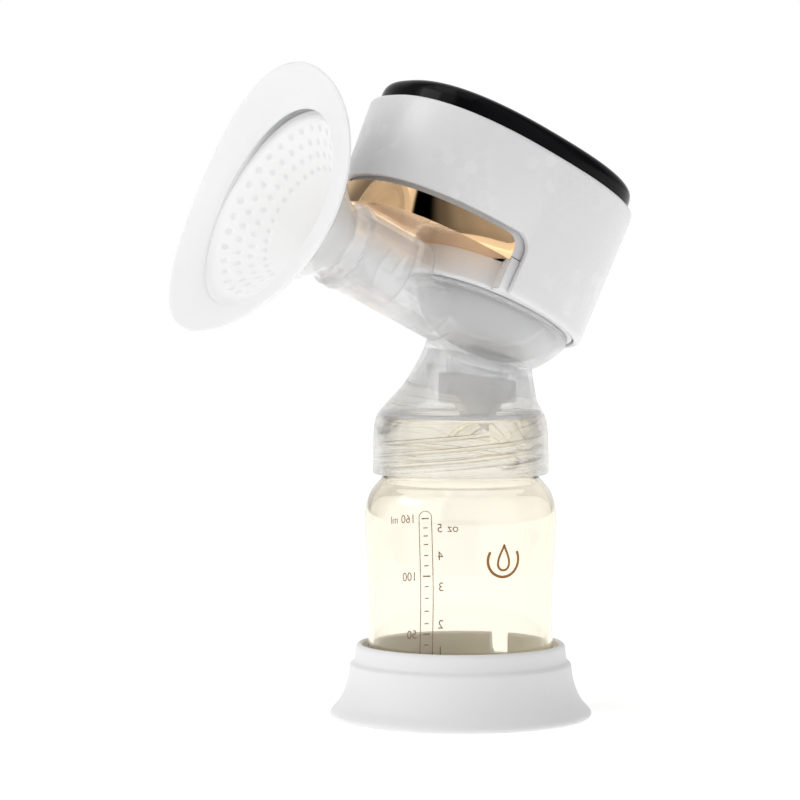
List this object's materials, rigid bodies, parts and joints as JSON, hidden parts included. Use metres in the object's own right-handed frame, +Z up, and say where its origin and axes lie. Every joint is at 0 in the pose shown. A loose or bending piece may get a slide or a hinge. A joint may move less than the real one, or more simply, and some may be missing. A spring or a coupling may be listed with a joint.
{
  "type": "breast pump",
  "caption": "Handheld electric breast pump: silicone breast shield, threaded pump body, clear bottle in a round stand and a battery motor unit with keys on its top panel.",
  "frame": {"origin": "centre of the stand's underside, on the bottle's axis", "axes": "+Z up along the bottle's axis, -X towards the breast shield, XZ the plane of symmetry"},
  "size_m": [0.16, 0.1004, 0.2191],
  "materials": {
    "white_plastic_matte": "matte white moulded plastic",
    "white_plastic_satin": "satin white moulded plastic",
    "amber_ppsu": "clear plastic with a faint amber tint",
    "clear_pp": "clear moulded plastic",
    "silicone": "milky soft silicone",
    "rose_gold": "mirror rose gold plating on plastic",
    "black_gloss": "glossy black panel",
    "circuit_board": "green solder mask",
    "grey_rubber": "grey rubber",
    "grey_plastic": "grey engineering plastic",
    "battery_wrap": "blue wrapped pouch cell",
    "steel": "plated steel"
  },
  "bodies": {
    "stand": {"base_stand": "white_plastic_matte"},
    "bottle": {"bottle": "amber_ppsu"},
    "seal": {"neck_seal": "silicone"},
    "pump_body": {"pump_body": "clear_pp", "threaded_collar": "clear_pp", "diaphragm": "silicone"},
    "valve": {"duckbill_valve": "silicone"},
    "shield": {"breast_shield": "clear_pp"},
    "cushion": {"massage_cushion": "silicone"},
    "motor_unit": {"housing_shell": "white_plastic_satin", "gold_trim": "rose_gold", "bottom_cover": "white_plastic_satin", "internal_frame": "white_plastic_matte", "top_panel": "black_gloss", "main_board": "circuit_board", "keypad_mat": "grey_rubber", "display_module": "grey_plastic", "usb_port": "steel", "battery": "battery_wrap", "motor_can": "steel", "pump_head": "grey_plastic", "air_hose": "silicone", "release_valve": "steel", "cover_screw_1": "steel", "cover_screw_2": "steel", "cover_screw_3": "steel", "cover_screw_4": "steel", "board_screw_1": "steel", "board_screw_2": "steel", "board_screw_3": "steel", "board_screw_4": "steel"},
    "power_key": {"power_key": "black_gloss"},
    "mode_key": {"mode_key": "black_gloss"},
    "plus_key": {"plus_key": "black_gloss"},
    "minus_key": {"minus_key": "black_gloss"},
    "rotor": {"pump_rotor": "steel"},
    "plunger": {"valve_plunger": "steel"}
  },
  "joints": [
    {"name": "bottle_lift", "type": "slide", "parent": "stand", "child": "bottle", "axis": [0, 0, 1], "range_m": [0, 0.03]},
    {"name": "cap_lift", "type": "slide", "parent": "bottle", "child": "seal", "axis": [0, 0, 1], "range_m": [0, 0.0118]},
    {"name": "cap_unscrew", "type": "hinge", "parent": "seal", "child": "pump_body", "pos_m": [0, 0, 0.0918], "axis": [0, 0, 1], "range_deg": [0, 270]},
    {"name": "valve_pull", "type": "slide", "parent": "pump_body", "child": "valve", "axis": [0, 0, -1], "range_m": [0, 0.012]},
    {"name": "shield_pull", "type": "slide", "parent": "pump_body", "child": "shield", "axis": [-0.8988, 0, 0.4384], "range_m": [0, 0.03]},
    {"name": "cushion_pull", "type": "slide", "parent": "shield", "child": "cushion", "axis": [-0.8988, 0, 0.4384], "range_m": [0, 0.025]},
    {"name": "unit_lift", "type": "slide", "parent": "pump_body", "child": "motor_unit", "axis": [0.4384, 0, 0.8988], "range_m": [0, 0.03]},
    {"name": "power_press", "type": "slide", "parent": "motor_unit", "child": "power_key", "axis": [-0.4384, 0, -0.8988], "range_m": [0, 0.0005], "stiffness_N_per_m": 400},
    {"name": "mode_press", "type": "slide", "parent": "motor_unit", "child": "mode_key", "axis": [-0.4384, 0, -0.8988], "range_m": [0, 0.0005], "stiffness_N_per_m": 400},
    {"name": "plus_press", "type": "slide", "parent": "motor_unit", "child": "plus_key", "axis": [-0.4384, 0, -0.8988], "range_m": [0, 0.0005], "stiffness_N_per_m": 400},
    {"name": "minus_press", "type": "slide", "parent": "motor_unit", "child": "minus_key", "axis": [-0.4384, 0, -0.8988], "range_m": [0, 0.0005], "stiffness_N_per_m": 400},
    {"name": "pump_spin", "type": "hinge", "parent": "motor_unit", "child": "rotor", "pos_m": [0.02166, 0, 0.16315], "axis": [0, 1, 0], "continuous": true},
    {"name": "release_press", "type": "slide", "parent": "motor_unit", "child": "plunger", "axis": [0, -1, 0], "range_m": [0, 0.002], "stiffness_N_per_m": 150}
  ],
  "couplings": [
    {"joint": "cap_lift", "follows": "cap_unscrew", "m_per_rad": 0.0024828}
  ]
}
